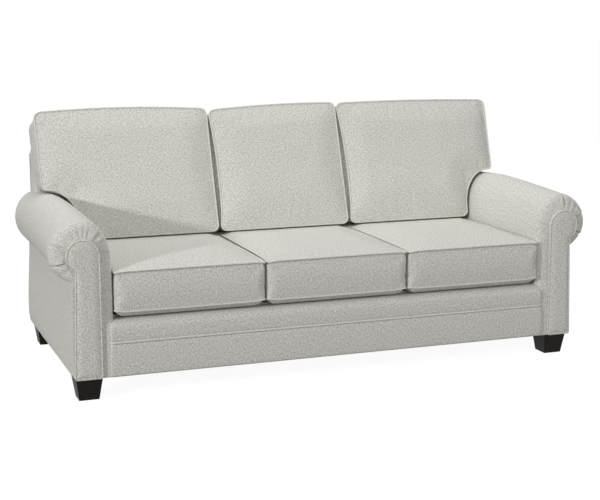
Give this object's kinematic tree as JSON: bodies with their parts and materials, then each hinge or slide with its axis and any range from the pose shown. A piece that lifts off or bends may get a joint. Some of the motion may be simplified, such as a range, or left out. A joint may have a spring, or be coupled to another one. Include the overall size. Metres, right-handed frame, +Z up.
{
  "type": "panel arm sofa",
  "caption": "Stationary upholstered sofa with rolled arms, keyhole front panels, tapered feet and loose boxed seat and back cushions that lift out.",
  "frame": {"origin": "on the floor under the middle of the sofa", "axes": "+X along the sofa's length to the right of someone facing its front, +Y from the front to the back, +Z up"},
  "size_m": [2.1204, 0.968, 0.976],
  "materials": {
    "body_fabric": "matt heathered weave over padding",
    "cushion_fabric": "matt heathered weave, loose cover",
    "welt_fabric": "matt self-fabric cord",
    "espresso_wood": "satin espresso stain",
    "beech": "planed, raw",
    "plywood": "sanded, raw",
    "spring_steel": "drawn wire",
    "zinc_steel": "zinc plated",
    "jute_webbing": "woven strap",
    "foam": "open cell foam and fibre",
    "dark_cloth": "non-woven cloth",
    "zip": "coil zip on tape"
  },
  "bodies": {
    "sofa_body": {"front_rail": "beech", "back_rail": "beech", "rear_bottom_rail": "beech", "side_rail_left": "beech", "side_rail_right": "beech", "seat_stretchers": "beech", "corner_blocks": "beech", "arm_post_left": "plywood", "arm_post_right": "plywood", "arm_top_rail_left": "beech", "arm_top_rail_right": "beech", "back_post_left": "beech", "back_post_right": "beech", "back_uprights": "beech", "back_top_rail": "beech", "back_slat": "beech", "seat_springs": "spring_steel", "spring_clips": "spring_steel", "back_webbing": "jute_webbing", "deck_pad": "foam", "deck_cloth": "dark_cloth", "dust_cover": "dark_cloth", "foot_front_left": "espresso_wood", "foot_front_right": "espresso_wood", "foot_rear_left": "espresso_wood", "foot_rear_right": "espresso_wood", "hanger_bolts": "zinc_steel", "tee_nuts": "zinc_steel", "arm_roll_left": "body_fabric", "arm_roll_right": "body_fabric", "inside_arm_left": "body_fabric", "inside_arm_right": "body_fabric", "outside_arm_left": "body_fabric", "outside_arm_right": "body_fabric", "front_panel_left": "body_fabric", "front_panel_right": "body_fabric", "front_border": "body_fabric", "front_band": "body_fabric", "front_welt": "welt_fabric", "inside_back": "body_fabric", "outside_back": "body_fabric"},
    "seat_left": {"seat_cushion_left": "cushion_fabric", "seat_core_left": "foam", "seat_zip_left": "zip"},
    "seat_centre": {"seat_cushion_centre": "cushion_fabric", "seat_core_centre": "foam", "seat_zip_centre": "zip"},
    "seat_right": {"seat_cushion_right": "cushion_fabric", "seat_core_right": "foam", "seat_zip_right": "zip"},
    "back_left": {"back_cushion_left": "cushion_fabric", "back_core_left": "foam", "back_zip_left": "zip"},
    "back_centre": {"back_cushion_centre": "cushion_fabric", "back_core_centre": "foam", "back_zip_centre": "zip"},
    "back_right": {"back_cushion_right": "cushion_fabric", "back_core_right": "foam", "back_zip_right": "zip"}
  },
  "joints": [
    {"name": "seat_left_pull", "type": "slide", "parent": "sofa_body", "child": "seat_left", "axis": [0, -1, 0], "range_m": [0, 0.6]},
    {"name": "seat_centre_pull", "type": "slide", "parent": "sofa_body", "child": "seat_centre", "axis": [0, -1, 0], "range_m": [0, 0.6]},
    {"name": "seat_right_pull", "type": "slide", "parent": "sofa_body", "child": "seat_right", "axis": [0, -1, 0], "range_m": [0, 0.6]},
    {"name": "back_left_lift", "type": "slide", "parent": "sofa_body", "child": "back_left", "axis": [0, 0.3289, 0.9444], "range_m": [0, 0.45]},
    {"name": "back_centre_lift", "type": "slide", "parent": "sofa_body", "child": "back_centre", "axis": [0, 0.3289, 0.9444], "range_m": [0, 0.45]},
    {"name": "back_right_lift", "type": "slide", "parent": "sofa_body", "child": "back_right", "axis": [0, 0.3289, 0.9444], "range_m": [0, 0.45]}
  ]
}
